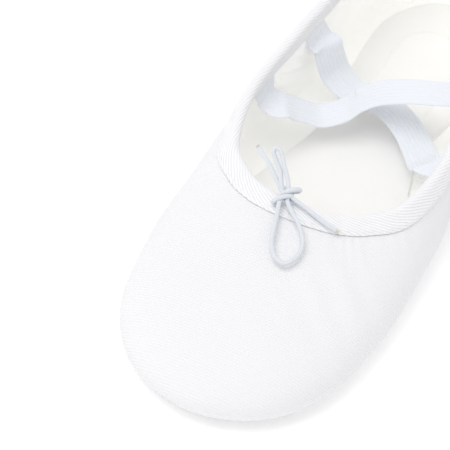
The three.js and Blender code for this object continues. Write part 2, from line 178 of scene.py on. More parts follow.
def open_curve(values, count):
    """count points along an open centripetal Catmull-Rom curve through values."""
    values = np.asarray(values, float)
    padded = np.vstack([2 * values[0] - values[1], values, 2 * values[-1] - values[-2]])
    place = np.linspace(0, len(values) - 1, count)
    first = np.minimum(place.astype(int), len(values) - 2)
    p0, p1, p2, p3 = (padded[first + step] for step in range(4))
    gaps = [np.sqrt(np.linalg.norm(b - a, axis=1, keepdims=True))
            for a, b in ((p0, p1), (p1, p2), (p2, p3))]
    gaps[1] = np.where(gaps[1] < 1e-4, 1, gaps[1])
    gaps[0], gaps[2] = (np.where(gap < 1e-4, gaps[1], gap) for gap in (gaps[0], gaps[2]))
    t1 = (p1 - p0) / gaps[0] - (p2 - p0) / (gaps[0] + gaps[1]) + (p2 - p1) / gaps[1]
    t2 = (p2 - p1) / gaps[1] - (p3 - p1) / (gaps[1] + gaps[2]) + (p3 - p2) / gaps[2]
    return hermite(p1, p2, t1 * gaps[1], t2 * gaps[1], (place - first)[:, None])


def bezier(p0, p1, p2, p3, count):
    """Cubic Bezier curves, one for each row of control points, with count points on each."""
    t = np.linspace(0, 1, count)[None, :, None]
    p0, p1, p2, p3 = (p[:, None, :] for p in (p0, p1, p2, p3))
    return (1 - t) ** 3 * p0 + 3 * t * (1 - t) ** 2 * p1 + 3 * t ** 2 * (1 - t) * p2 + t ** 3 * p3


def lengths_along(points):
    """The length run at each point of a polyline, along the last axis but one."""
    steps = np.linalg.norm(np.diff(points, axis=-2), axis=-1)
    return np.concatenate([np.zeros(steps.shape[:-1] + (1,)), np.cumsum(steps, axis=-1)], axis=-1)


def evenly(points, spacing):
    """A polyline's points again, evenly spaced, with both ends kept.  Columns after the third
    are carried along."""
    run = lengths_along(points[:, :3])
    places = np.linspace(0, run[-1], max(2, round(run[-1] / spacing) + 1))
    return np.stack([np.interp(places, run, column) for column in points.T], axis=1)


# Middle surface of the upper
def toward_spine(points, distance):
    """The points moved in plan towards the foot's middle line."""
    spine_y = np.clip(points[:, 1], *SPINE)
    inward = unit(np.stack([-points[:, 0], spine_y - points[:, 1]], axis=1))
    moved = points.copy()
    moved[:, :2] += inward * np.broadcast_to(distance, len(points))[:, None]
    return moved


def all_round(half):
    """The stations of one side, with their mirror images after them."""
    other = half[1:-1][::-1].copy()
    other[:, 0] *= -1
    return np.vstack([half, other])


def make_rails():
    """The four closed rails: top line, widest line, floor line and turned edge."""
    x, along, roll, turn, top_x, top_y, top_z = STATIONS.T
    wall = np.stack([x, TOE_Y + along * (HEEL_Y - TOE_Y), np.full_like(x, BELLY_HEIGHT)], axis=1)
    floor = toward_spine(wall, roll)
    floor[:, 2] = FLOOR_HEIGHT
    reach = np.where(floor[:, 0] > 0.01, np.minimum(turn, 0.999 * floor[:, 0]), turn)
    turned = toward_spine(floor, reach)
    top = np.stack([top_x * MOUTH_WIDTH / 2,
                    THROAT_Y + top_y * (HEEL_Y - HEEL_LEAN - THROAT_Y),
                    THROAT_HEIGHT + top_z * (HEEL_HEIGHT - THROAT_HEIGHT)], axis=1)
    return [all_round(half) for half in (top, wall, floor, turned)]


TOP_RAIL, WALL_RAIL, FLOOR_RAIL, TURN_RAIL = make_rails()


def meridians(station):
    """Fine polylines down the middle surface from the top line, the length run at each of their
    points, and the lengths at the widest line and at the floor line."""
    top, wall, floor, turned = (closed_curve(rail, station)
                                for rail in (TOP_RAIL, WALL_RAIL, FLOOR_RAIL, TURN_RAIL))
    side = np.where(floor[:, 0] < 0, -1, 1)
    least = np.minimum(0.4, np.abs(floor[:, 0]))
    turned[:, 0] = side * np.maximum(side * turned[:, 0], least)
    across = (wall - top) * [1, 1, 0]
    rise = (top - wall)[:, 2]
    below_top = top + 0.45 * across
    below_top[:, 2] -= 0.3 * rise + 0.025 * np.linalg.norm(across, axis=1)
    above_wall = wall.copy()
    above_wall[:, 2] += 0.55 * rise
    below_wall = wall.copy()
    below_wall[:, 2] -= 0.55 * (wall - floor)[:, 2]
    beside_floor = floor + 0.55 * (wall - floor) * [1, 1, 0]
    wall_part = bezier(top, below_top, above_wall, wall, WALL_STEPS)
    round_part = bezier(wall, below_wall, beside_floor, floor, ROUND_STEPS)[:, 1:]
    share = np.linspace(0, 1, FLAT_STEPS)[1:, None]
    flat_part = floor[:, None] + share * (turned - floor)[:, None]
    line = np.concatenate([wall_part, round_part, flat_part], axis=1)
    run = lengths_along(line)
    return line, run, run[:, WALL_STEPS - 1], run[:, WALL_STEPS + ROUND_STEPS - 2]


def surface(station, distance):
    """Points of the middle surface at distances (stations by rows) down from the top line."""
    line, run, _, _ = meridians(station)
    ladder = np.arange(len(station))[:, None] * (run.max() + 1)
    places = (np.clip(distance, 0, run[:, -1:]) + ladder).ravel()
    return np.stack([np.interp(places, (run + ladder).ravel(), line[..., axis].ravel())
                     .reshape(distance.shape) for axis in range(3)], axis=-1)


def normals(station, distance):
    """Unit normals of the middle surface, out of the slipper."""
    forward = surface(station + 0.02, distance) - surface(station - 0.02, distance)
    upward = surface(station, distance - 0.3) - surface(station, distance + 0.3)
    return unit(np.cross(forward, upward))


def cloth_coordinates(station, distance):
    """Where each point lay on the flat cloth: straight out from the top line, in metres."""
    top = closed_curve(TOP_RAIL, station)[:, :2]
    outward = unit(closed_curve(WALL_RAIL, station)[:, :2] - top)
    return (top[:, None] + outward[:, None] * distance[..., None]) * MM


def on_wall(station, distance, offset):
    """One point beside the middle surface, and the normal there."""
    place, down = np.array([float(station)]), np.array([[float(distance)]])
    normal = normals(place, down)[0, 0]
    return surface(place, down)[0, 0] + offset * normal, normal


# Mesh building
def grid_faces(rows, columns, close_rows=False, close_columns=False):
    """Quads of a grid, and the row and column of each of their corners before closing."""
    i, j = np.meshgrid(np.arange(rows - (not close_rows)),
                       np.arange(columns - (not close_columns)), indexing="ij")
    i, j = i.ravel(), j.ravel()
    corner_rows = np.stack([i, i + 1, i + 1, i], axis=1)
    corner_columns = np.stack([j, j, j + 1, j + 1], axis=1)
    faces = (corner_rows % rows) * columns + corner_columns % columns
    return faces, corner_rows, corner_columns


def signed_volume(points, faces):
    """Six times the volume that the quads enclose, negative if they face inwards."""
    a, b, c, d = (points[faces[:, k]] for k in range(4))
    return np.einsum("ij,ij->", a, np.cross(b, c)) + np.einsum("ij,ij->", a, np.cross(c, d))


def new_piece(name, points, faces, uv, material, slot, weld=False, sharp=50):
    """A closed mesh object of quads that face outwards.  uv has a pair for each face corner."""
    name = name.replace(" ", "-")
    points = np.ascontiguousarray(points, float) * MM
    if signed_volume(points, faces) < 0:
        faces, uv = faces[:, ::-1], uv[:, ::-1]
    mesh = bpy.data.meshes.new(name)
    mesh.vertices.add(len(points))
    mesh.vertices.foreach_set("co", points.ravel())
    mesh.loops.add(faces.size)
    mesh.loops.foreach_set("vertex_index", np.ascontiguousarray(faces).ravel())
    mesh.polygons.add(len(faces))
    mesh.polygons.foreach_set("loop_start", np.arange(0, faces.size, 4))
    mesh.update(calc_edges=True)
    layer = mesh.uv_layers.new(name="UVMap")
    layer.data.foreach_set("uv", np.ascontiguousarray(uv, float).ravel())
    mesh.validate()
    if weld:
        work = bmesh.new()
        work.from_mesh(mesh)
        bmesh.ops.remove_doubles(work, verts=work.verts, dist=2e-6)
        work.to_mesh(mesh)
        work.free()
    mesh.polygons.foreach_set("use_smooth", np.ones(len(mesh.polygons), bool))
    mesh.set_sharp_from_angle(angle=math.radians(sharp))
    mesh.materials.append(material)
    piece = bpy.data.objects.new(name, mesh)
    bpy.context.scene.collection.objects.link(piece)
    return piece


def swept(name, rings, ring_uv, material, slot, closed=False, **options):
    """A solid through closed rings (rings by points).  The second half of a ring runs back
    beside its first half, and the end caps join the two halves.  ring_uv has one more column
    than the rings have points, and one more row where the sweep is closed."""
    count, size = rings.shape[:2]
    faces, row, column = grid_faces(count, size, closed, True)
    uv = ring_uv[row, column]
    if not closed:
        k = np.arange(size // 2 - 1)
        first = np.stack([k, k + 1, size - 2 - k, size - 1 - k], axis=1)
        last = (first + (count - 1) * size)[:, ::-1]
        caps = np.vstack([first, last])
        faces = np.vstack([faces, caps])
        flat = ring_uv[:, :-1].reshape(-1, 2)
        uv = np.concatenate([uv, flat[caps]])
    return new_piece(name, rings.reshape(-1, 3), faces, uv, material, slot, **options)


def sheet_of_cloth(name, outer, inner, uv, material, slot, **options):
    """A closed sheet between an outer and an inner grid, with the same cloth coordinates."""
    rings = np.concatenate([outer, inner[:, ::-1]], axis=1)
    both = np.concatenate([uv, uv[:, ::-1], uv[:, :1]], axis=1)
    return swept(name, rings, both, material, slot, **options)


def frames_along(path, start_side):
    """Tangents, sides and ups along a path, carried on without twist from start_side."""
    tangents = unit(np.gradient(path, axis=0))
    side = np.asarray(start_side, float)
    sides = []
    for tangent in tangents:
        side = side - side.dot(tangent) * tangent
        side = side / np.linalg.norm(side)
        sides.append(side)
    sides = np.array(sides)
    return tangents, sides, np.cross(tangents, sides)


def tube(name, path, radius, material, slot, sides=14, braid=0.0, braid_pitch=1.4, tips=True):
    """A round cord along a path.  Its surface bulges in a double helix of crossing strands:
    radius + braid * cos(4 angle + turn) * cos(4 angle - turn).  Its ends are rounded off over
    one radius and closed to a small ring."""
    run = lengths_along(path)
    _, side, up = frames_along(path, (0.3, 0.2, 1))
    angle = np.linspace(0, 2 * np.pi, sides, endpoint=False)
    turn = 2 * np.pi * run[:, None] / braid_pitch
    size = radius + braid * np.cos(2 * angle + turn) * np.cos(2 * angle - turn)
    if tips:
        to_end = np.minimum(run, run[-1] - run)[:, None]
        inside = np.clip(1 - to_end / (0.5 * radius), 0, 0.98)
        size = size * np.sqrt(1 - inside ** 2)
    rings = (path[:, None] + (size * np.cos(angle))[..., None] * side[:, None]
             + (size * np.sin(angle))[..., None] * up[:, None])
    around = np.arange(sides + 1) / sides * 2 * np.pi * radius
    uv = np.stack(np.broadcast_arrays(run[:, None], around[None]), axis=-1) * MM
    return swept(name, rings, uv, material, slot)


def pad(name, outline, spine, edge, bottom, top, material, slot, lift=None, fill=14):
    """A flat pad on an outline.  Rings run from its middle line out under it, round its edge as
    half an ellipse and back in over it.  lift(x, y, share in from the edge) raises the top."""
    middle = np.stack([np.zeros(len(outline)), np.clip(outline[:, 1], *spine)], axis=1)
    reach = np.linalg.norm(middle - outline, axis=1)
    inward = (middle - outline) / reach[:, None]
    angles = np.linspace(-np.pi / 2, np.pi / 2, 9)
    shares = (np.linspace(0, 1, fill + 1)[1:]) ** 1.3
    distances = [edge + (reach - edge) * share for share in shares[::-1]]
    heights = [np.full(len(outline), float(bottom))] * fill
    for angle in angles:
        distances.append(np.full(len(outline), edge * (1 - math.cos(angle))))
        height = (bottom + top) / 2 + (top - bottom) / 2 * math.sin(angle)
        heights.append(np.full(len(outline), height))
    for share in shares:
        distances.append(edge + (reach - edge) * share)
        heights.append(np.full(len(outline), float(top)))
    distances, heights = np.array(distances).T, np.array(heights).T
    plan = outline[:, None] + inward[:, None] * distances[..., None]
    if lift is not None:
        is_top = (np.arange(distances.shape[1]) >= fill + 6) * 1.0
        inner = np.clip((distances - edge) / (reach[:, None] - edge), 0, 1)
        heights = heights + is_top * lift(plan[..., 0], plan[..., 1], inner)
    rings = np.concatenate([plan, heights[..., None]], axis=-1)
    faces, row, column = grid_faces(rings.shape[0], rings.shape[1], True, False)
    uv = plan[row % len(outline), column] * MM
    return new_piece(name, rings.reshape(-1, 3), faces, uv, material, slot, weld=True)


def stitches(name, centres, along, out, material, slot, length=2.1, radius=0.24):
    """A row of thread stitches: small capsules, bowed along their length, sunk at both ends."""
    share = np.array([-1, -0.8, -0.35, 0.35, 0.8, 1])
    girth = radius * np.array([0.15, 0.75, 1, 1, 0.75, 0.15])
    arch = 0.3 * radius - 1.1 * radius * share ** 2
    angle = np.linspace(0, 2 * np.pi, 6, endpoint=False)
    out = unit(out - np.sum(out * along, axis=1, keepdims=True) * along)
    side = np.cross(along, out)
    local = np.stack([
        np.broadcast_to(share[:, None] * length / 2, (6, 6)),
        girth[:, None] * np.cos(angle),
        arch[:, None] + girth[:, None] * np.sin(angle),
    ], axis=-1)
    points = (centres[:, None, None]
              + local[None, ..., :1] * along[:, None, None]
              + local[None, ..., 1:2] * side[:, None, None]
              + local[None, ..., 2:] * out[:, None, None])
    quads, _, _ = grid_faces(6, 6, False, True)
    caps = np.array([[0, 1, 2, 3], [0, 3, 4, 5], [33, 32, 31, 30], [35, 34, 33, 30]])
    one = np.vstack([quads, caps])
    faces = (one[None] + 36 * np.arange(len(centres))[:, None, None]).reshape(-1, 4)
    points = points.reshape(-1, 3)
    uv = points[faces][..., :2] * MM
    return new_piece(name, points, faces, uv, material, slot)


def stitch_line(name, station, distance, offset, material, slot, pitch=2.8, **options):
    """Stitches along a line of the upper given by its stations and distances."""
    fine = surface(station, distance[:, None])[:, 0]
    run = lengths_along(fine)
    places = np.arange(pitch, run[-1] - pitch / 2, pitch)
    at_station = np.interp(places, run, station)
    at_distance = np.interp(places, run, distance)[:, None]
    centres = surface(at_station, at_distance)[:, 0]
    out = normals(at_station, at_distance)[:, 0]
    along = unit(np.stack([np.interp(places + 0.5, run, column)
                           - np.interp(places - 0.5, run, column) for column in fine.T], axis=1))
    along = unit(along - np.sum(along * out, axis=1, keepdims=True) * out)
    sign = 1 if offset > 0 else -1
    return stitches(name, centres + offset * out, along, sign * out, material, slot, **options)


# Materials
def add(tree, kind, inputs=None, **settings):
    """A node with its settings made and its inputs set or linked."""
    node = tree.nodes.new(kind)
    for key, value in settings.items():
        setattr(node, key, value)
    for key, value in (inputs or {}).items():
        if isinstance(value, bpy.types.NodeSocket):
            tree.links.new(value, node.inputs[key])
        else:
            node.inputs[key].default_value = value
    return node


def maths(tree, operation, *values):
    """The result of a Math node."""
    return add(tree, "ShaderNodeMath", dict(enumerate(values)), operation=operation).outputs[0]


def noise(tree, place, scale, detail=2.0, roughness=0.5):
    """A cloudy value from 0 to 1 over the cloth."""
    return add(tree, "ShaderNodeTexNoise", {"Vector": place, "Scale": scale, "Detail": detail,
                                            "Roughness": roughness}).outputs["Fac"]


def ridges(tree, turns):
    """Round ridges with sharp valleys between them, one ridge for each turn."""
    return maths(tree, "ABSOLUTE", maths(tree, "SINE", maths(tree, "MULTIPLY", turns, math.pi)))


def wander(tree, place, scale, detail, reach):
    """An offset that drifts over the cloth, up to half of reach each way."""
    return maths(tree, "MULTIPLY",
                 maths(tree, "SUBTRACT", noise(tree, place, scale, detail), 0.5), reach)


def new_group(name, inputs, outputs):
    """An empty node group, its input node's sockets and its output node."""
    tree = bpy.data.node_groups.new(name, "ShaderNodeTree")
    for label, kind, value in inputs:
        socket = tree.interface.new_socket(label, in_out="INPUT", socket_type=kind)
        if value is not None:
            socket.default_value = value
    for label in outputs:
        tree.interface.new_socket(label, in_out="OUTPUT", socket_type="NodeSocketFloat")
    return tree, add(tree, "NodeGroupInput").outputs, add(tree, "NodeGroupOutput").inputs


def woven_group():
    """Ribs across the cloth with finer threads along it, both a little uneven."""
    tree, given, result = new_group("woven ribs", [
        ("Coordinates", "NodeSocketVector", None),
        ("Rib pitch", "NodeSocketFloat", 0.001),
        ("Thread pitch", "NodeSocketFloat", 0.0006)], ["Height", "Tone"])
    place = given["Coordinates"]
    off = wander(tree, place, 220.0, 2.0, 0.0003)
    axes = add(tree, "ShaderNodeSeparateXYZ", {0: place}).outputs
    rib, thread = (ridges(tree, maths(tree, "DIVIDE", maths(tree, "ADD", axes[axis], off), pitch))
                   for axis, pitch in (("Y", given["Rib pitch"]), ("X", given["Thread pitch"])))
    thread = maths(tree, "MULTIPLY_ADD", thread, 0.35, 0.65)
    tree.links.new(maths(tree, "MULTIPLY", rib, thread), result["Height"])
    tree.links.new(noise(tree, place, 38.0, 3.0), result["Tone"])
    return tree


def plait_group():
    """Crossing diagonal strands, as on a braided cord."""
    tree, given, result = new_group("plait", [
        ("Coordinates", "NodeSocketVector", None),
        ("Pitch", "NodeSocketFloat", 0.0007)], ["Height", "Tone"])
    axes = add(tree, "ShaderNodeSeparateXYZ", {0: given["Coordinates"]}).outputs
    strands = (ridges(tree, maths(tree, "DIVIDE", maths(tree, operation, axes["X"], axes["Y"]),
                                  given["Pitch"])) for operation in ("ADD", "SUBTRACT"))
    tree.links.new(maths(tree, "MULTIPLY", *strands), result["Height"])
    tree.links.new(noise(tree, given["Coordinates"], 150.0), result["Tone"])
    return tree


def nap_group():
    """Short irregular fibres, for suede and for the felted faces of soft cloth."""
    tree, given, result = new_group("nap", [
        ("Coordinates", "NodeSocketVector", None),
        ("Grain", "NodeSocketFloat", 1800.0)], ["Height", "Tone"])
    place = given["Coordinates"]
    tree.links.new(noise(tree, place, given["Grain"], 5.0, 0.65), result["Height"])
    tree.links.new(noise(tree, place, 60.0, 4.0), result["Tone"])
    return tree


def bias_group():
    """Round slanting ridges with sharp valleys.  The tone is painted shade, low in the valleys only.
    """
    tree, given, result = new_group("bias ridges", [
        ("Coordinates", "NodeSocketVector", None)], ["Height", "Tone"])
    off = wander(tree, given["Coordinates"], 170.0, 3.0, 0.9)
    axes = add(tree, "ShaderNodeSeparateXYZ", {0: given["Coordinates"]}).outputs
    run = maths(tree, "MULTIPLY", axes["X"], RIDGE_ALONG / (RIDGE_PITCH * MM))
    width = maths(tree, "MULTIPLY", axes["Y"], RIDGE_ACROSS / (RIDGE_PITCH * MM))
    wave = ridges(tree, maths(tree, "ADD", maths(tree, "ADD", run, width), off))
    tree.links.new(maths(tree, "POWER", wave, 0.6), result["Height"])
    # painted shade: the colour is darkest in the valleys between the ridges
    tree.links.new(maths(tree, "POWER", wave, 0.35), result["Tone"])
    return tree


WOVEN = woven_group()
BIAS = bias_group()
PLAIT = plait_group()
NAP = nap_group()


def fabric(name, group, light, dark, depth, roughness=0.9, sheen=0.15, painted_glow=0.0, settings=None):
    """A matt fabric whose colour drifts between two close tones and whose relief is depth
    metres deep, both from a group read at the piece's own cloth coordinates.  Its emission is
    painted light that lifts the cloth's shaded parts, standing in for daylight through thin cloth."""
    material = bpy.data.materials.new(name)
    material.use_nodes = True
    tree = material.node_tree
    tree.nodes.clear()
    place = add(tree, "ShaderNodeUVMap", uv_map="UVMap")
    effect = add(tree, "ShaderNodeGroup", node_tree=group)
    tree.links.new(place.outputs["UV"], effect.inputs["Coordinates"])
    for key, value in (settings or {}).items():
        effect.inputs[key].default_value = value
    colour = add(tree, "ShaderNodeMix", {"Factor": effect.outputs["Tone"]}, data_type="RGBA")
    colour.inputs["A"].default_value = (*dark, 1)
    colour.inputs["B"].default_value = (*light, 1)
    relief = add(tree, "ShaderNodeBump", {"Height": effect.outputs["Height"], "Strength": 1.0,
                                          "Distance": depth})
    # The emission is painted light: the cloth glows in its own colour to brighten its shade.
    shader = add(tree, "ShaderNodeBsdfPrincipled", {
        "Base Color": colour.outputs["Result"], "Roughness": roughness,
        "Normal": relief.outputs["Normal"], "Sheen Weight": sheen, "Sheen Roughness": 0.6,
        "Emission Color": colour.outputs["Result"], "Emission Strength": painted_glow,
        "Specular IOR Level": 0.25})
    output = add(tree, "ShaderNodeOutputMaterial")
    tree.links.new(shader.outputs["BSDF"], output.inputs["Surface"])
    return material


CANVAS = fabric("canvas", WOVEN, (0.885, 0.885, 0.90), (0.86, 0.86, 0.875), 0.00013)
# The lining and the sock carry painted light: an emission that brightens the slipper's shaded
# inside.
LINING = fabric("lining", WOVEN, (0.895, 0.892, 0.872), (0.875, 0.87, 0.845), 0.00005, painted_glow=0.22,
                settings={"Rib pitch": 0.0006, "Thread pitch": 0.0006})
SOCK = fabric("sock cloth", NAP, (0.90, 0.895, 0.88), (0.875, 0.87, 0.85), 0.00006, painted_glow=0.03)
# The binding's darker tone is painted shade, in the valleys of its ridges.
BINDING = fabric("binding tape", BIAS, (0.915, 0.915, 0.93), (0.82, 0.82, 0.84), 0.00014)
CORD = fabric("cord elastic", PLAIT, (0.78, 0.81, 0.85), (0.70, 0.735, 0.78), 0.00006,
              roughness=0.6)
# The strap's small emission is painted light as well.
STRAP = fabric("strap elastic", WOVEN, (0.825, 0.848, 0.89), (0.80, 0.828, 0.875), 0.00003,
               roughness=0.65, painted_glow=0.02, settings={"Rib pitch": 0.0007, "Thread pitch": 0.0005})
SUEDE = fabric("sole suede", NAP, (0.80, 0.775, 0.73), (0.72, 0.69, 0.64), 0.00015,
               settings={"Grain": 1400.0})
FOAM = fabric("cushion foam", NAP, (0.85, 0.82, 0.72), (0.80, 0.77, 0.67), 0.0001)
THREAD = fabric("thread", PLAIT, (0.89, 0.89, 0.905), (0.86, 0.86, 0.88), 0.00003,
                settings={"Pitch": 0.0004})
RUBBER = fabric("rubber core", NAP, (0.80, 0.77, 0.69), (0.70, 0.67, 0.60), 0.00002)
FRAY = fabric("frayed yarn", PLAIT, (0.64, 0.64, 0.65), (0.50, 0.50, 0.51), 0.00002)


# Canvas and lining
CANVAS_BACK = 0.05            # the canvas's inner face and the lining's outer face, as offsets
LINING_FACE = -0.25
UNDER_BINDING = EDGE_DROP + BINDING_LEG
undulations = [(rng.uniform(0, 2 * np.pi), 2 * np.pi / rng.uniform(24, 60),
                rng.uniform(0, 2 * np.pi)) for _ in range(6)]


def undulation(x, y):
    """A sum of six long random waves, between about -1 and 1."""
    total = 0
    for heading, number, phase in undulations:
        total = total + np.sin(number * (x * math.cos(heading) + y * math.sin(heading)) + phase)
    return total / 3


def canvas_relief(station, distance, points, belly, floor):
    """How far the canvas stands out from its plain surface, in millimetres: long soft waves,
    gathers that die away below the binding, a crease from the bow towards the toe, slanting
    wrinkles on the right of the vamp, and pleats where the toe is drawn in under the foot."""
    x, y = points[..., 0], points[..., 1]
    station = station[:, None]
    below = distance - UNDER_BINDING
    free = smoothstep(0.5, 5, below)
    upper_part = 1 - smoothstep(0.3, 0.9, (distance - belly) / (floor - belly))
    waves = 0.22 * undulation(x, y)
    gather_size = 0.10 + 0.10 * np.sin(1.7 * station + 1) ** 2 + 0.10 * bump_at(station, 2.75, 0.6)
    gathers = gather_size * np.sin(2 * np.pi * (2.9 * station + 0.25 * np.sin(5 * station)))
    gathers = gathers * np.exp(-np.maximum(below, 0) / 5.5) * smoothstep(0, 1.5, below)
    along_crease = (THROAT_Y - 5 - y) / 26
    across_crease = x + 1.5 - 3 * along_crease
    crease_size = smoothstep(-0.1, 0.2, along_crease) * (1 - smoothstep(0.3, 1, along_crease))
    crease = crease_size * (-0.75 * bump_at(across_crease, 1, 4.5)
                            + 0.45 * bump_at(across_crease, -8, 7))
    slant = x * 0.64 + y * 0.77
    wrinkles = (0.28 * np.sin(2 * np.pi * slant / 10.5 + 0.6 * np.sin(y / 7))
                * bump_at(np.hypot(x - 27, y + 64), 0, 17))
    low = (distance - belly) / (floor - belly)
    pleat_place = smoothstep(0.25, 0.95, low) * (1 - smoothstep(2.3, 3.1, np.abs(station)))
    pleats = -0.55 * np.abs(np.sin(np.pi * 4.2 * station)) ** 3 * pleat_place
    return (waves * free + gathers + crease * free + wrinkles * free) * upper_part + pleats


def lining_relief(station, distance, points, belly, floor):
    """How far the lining stands in from its plain surface: waves everywhere, and wrinkles on
    the left wall between the two straps."""
    x, y = points[..., 0], points[..., 1]
    station = station[:, None]
    free = smoothstep(1, 5, distance - UNDER_BINDING)
    waves = 0.25 + 0.22 * undulation(1.6 * y, 1.6 * (x + 2 * points[..., 2]))
    slant = distance + 22 * (station + 5.9)
    wrinkles = (1.0 * np.sin(2 * np.pi * slant / 6.5) * bump_at(station, -5.95, 0.5)
                * bump_at(distance, 15, 9))
    low = (distance - belly) / (floor - belly)
    return np.maximum(waves + wrinkles, 0) * free * (1 - smoothstep(-0.2, 0.7, low))


def upper_layer(name, span, rows, outer, inner, relief_of, material, layer):
    """One piece of the upper between two offsets of the middle surface.  The lining ends part
    of the way under the foot and its relief moves its inner face; the canvas runs on to the
    turned edge and its relief moves its outer face."""
    is_lining = layer == "lining"
    station = np.linspace(*span, round((span[1] - span[0]) * 24))
    _, run, belly, floor = meridians(station)
    end = (run[:, -1] + floor) / 2 if is_lining else run[:, -1]
    distance = EDGE_DROP + (end - EDGE_DROP)[:, None] * np.linspace(0, 1, rows)
    points = surface(station, distance)
    out = normals(station, distance)
    relief = relief_of(station, distance, points, belly[:, None], floor[:, None])[..., None]
    outer_face = points + out * (outer + relief * (not is_lining))
    inner_face = points + out * (inner - relief * is_lining)
    uv = cloth_coordinates(station, distance)
    piece = sheet_of_cloth(name, outer_face, inner_face, uv, material, layer)
    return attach(piece, "slipper")


def make_upper():
    """The vamp and two quarters, each in canvas and in lining, with a gap at each seam."""
    layers = (("canvas", SEAM_GAP, 76, HALF_WALL, CANVAS_BACK, canvas_relief, CANVAS),
              ("lining", LINING_SEAM_GAP, 60, LINING_FACE, -HALF_WALL, lining_relief, LINING))
    for part, side, first, last in (("vamp", "", -SIDE_SEAM, SIDE_SEAM),
                                    ("quarter", "_right", SIDE_SEAM, HEEL_STATION),
                                    ("quarter", "_left", -HEEL_STATION, -SIDE_SEAM)):
        for layer, gap, rows, outer, inner, relief_of, material in layers:
            trim = gap * (part == "quarter")
            piece = upper_layer(f"{part}{side} {layer}", (first + trim, last - trim), rows,
                                outer, inner, relief_of, material, layer)
            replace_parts(piece, f"{part}_{layer}{side}")


make_upper()


def make_heel_tape():
    """The tape over the back seam, inside, with a stitch line down each edge."""
    station = np.linspace(HEEL_STATION - 0.36, HEEL_STATION + 0.36, 25)
    _, _, belly, _ = meridians(station)
    top = UNDER_BINDING + (belly - UNDER_BINDING) / 4
    distance = top[:, None] + (belly - top)[:, None] * np.linspace(0, 1, 40)
    points, out = surface(station, distance), normals(station, distance)
    across = np.linspace(-1, 1, 25)[:, None, None]
    soft = 0.25 * (1 - across ** 8)
    tape = sheet_of_cloth("heel seam tape", points - out * 1.15, points - out * (1.4 + soft),
                          cloth_coordinates(station, distance), LINING, "lining")
    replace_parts(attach(tape, "slipper"), "heel_seam_tape")
    for side in (-0.28, 0.28):
        down = np.linspace(top[12] + 1, belly[12] - 1, 60)
        line = stitch_line("heel tape stitches", np.full(60, HEEL_STATION + side), down, -1.68,
                           THREAD, "lining", length=1.9, radius=0.18)
        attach(line, "slipper")


make_heel_tape()


def make_seam_stitches():
    """Two rows of stitches beside each side seam and beside the back seam, outside."""
    for seam in (SIDE_SEAM, HEEL_STATION, ROUND_TRIP - SIDE_SEAM):
        _, _, belly, floor = meridians(np.array([seam]))
        down = np.linspace(UNDER_BINDING + 1, 0.6 * belly[0] + 0.4 * floor[0], 80)
        for side in (-0.065, 0.065):
            line = stitch_line("seam stitches", np.full(80, seam + side), down, 0.98, THREAD,
                               "canvas", pitch=2.4, length=1.8, radius=0.16)
            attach(line, "slipper")


make_seam_stitches()


# Binding and the drawstring inside it
def binding_ring(station, radius, tuck):
    """Points and outward directions of the folded tape: up the outside leg, over the top line
    and down the inside leg.  tuck draws the legs' lower edges in to the cloth."""
    leg_out = np.linspace(UNDER_BINDING, 0.3, 20)
    leg_in = np.linspace(0.35, UNDER_BINDING, 6)
    angle = np.linspace(0, np.pi, 16)
    parts = []
    outward = []
    for down, side in ((leg_out, 1), (leg_in, -1)):
        distance = np.broadcast_to(down, (len(station), len(down)))
        out = side * normals(station, distance)
        edge = tuck * smoothstep(UNDER_BINDING - 1, UNDER_BINDING, distance)
        parts.append(surface(station, distance) + out * (radius - edge)[..., None])
        outward.append(out)
    zero = np.zeros((len(station), 1))
    centre = surface(station, zero)
    out = normals(station, zero + 0.3)
    up = unit(centre - surface(station, zero + EDGE_DROP))
    radial = out * np.cos(angle)[None, :, None] + up * np.sin(angle)[None, :, None]
    parts.insert(1, centre + radius * radial)
    outward.insert(1, radial)
    return np.concatenate(parts, axis=1), np.concatenate(outward, axis=1)


TAPE_GAP = 0.004              # stations each side of the throat where the tape's ends meet
CORD_EXIT = 0.05              # stations each side of the throat where the cord comes out


def make_binding():
    """Bias tape folded over the top line.  Its weave makes slanting ridges with round tops and
    sharp valleys, and it is a little fuller where it is gathered."""
    station = np.linspace(TAPE_GAP, ROUND_TRIP - TAPE_GAP, 1050)
    run = lengths_along(surface(station, np.zeros((len(station), 1)))[:, 0])[:, None]
    face, outward = binding_ring(station, ROLL_OUTER, 0.45)
    back, _ = binding_ring(station, ROLL_INNER, 0)
    width = lengths_along(face)
    middle = width[:, -1:] / 2
    turns = (RIDGE_ALONG * run + RIDGE_ACROSS * (width - middle)) / RIDGE_PITCH
    ridges = np.abs(np.sin(np.pi * turns)) ** 0.6
    full = np.sin(np.pi * np.clip(width / (0.45 * width[:, -1:]), 0, 1))
    gathered = 0.10 * np.sin(2 * np.pi * run / 9.5 + 1.3 * np.sin(run / 21)) * full
    height = 0.15 * ridges + 0.22 * full + gathered - 0.1
    face = face + outward * height[..., None]
    uv = np.stack(np.broadcast_arrays(run, width - middle), axis=-1) * MM
    binding = sheet_of_cloth("topline binding", face, back, uv, BINDING, "binding_tape")
    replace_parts(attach(binding, "slipper"), "topline_binding")
    places = np.linspace(THROAT_OPENING + 0.05, ROUND_TRIP - THROAT_OPENING - 0.05, 900)
    line = stitch_line("binding stitches", places, np.full(900, UNDER_BINDING - 1.2), 2.0,
                       THREAD, "binding_tape", pitch=2.9, length=2.2, radius=0.12)
    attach(line, "slipper")


make_binding()


def make_casing_cord():
    """The drawstring's hidden run inside the binding."""
    station = np.linspace(THROAT_OPENING, ROUND_TRIP - THROAT_OPENING, 420)
    path = surface(station, np.zeros((420, 1)))[:, 0]
    cord = tube("drawstring in casing", path, CORD_RADIUS, CORD, "cord_elastic", sides=8,
                tips=False)
    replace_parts(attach(cord, "slipper"), "drawstring_in_casing")


make_casing_cord()


# Soles, cushions and insole
def outline_of(rail, inset):
    """The closed outline of a rail in plan, moved in towards the middle line."""
    return toward_spine(closed_curve(rail, np.arange(0, ROUND_TRIP, 1 / 14)), inset)[:, :2]


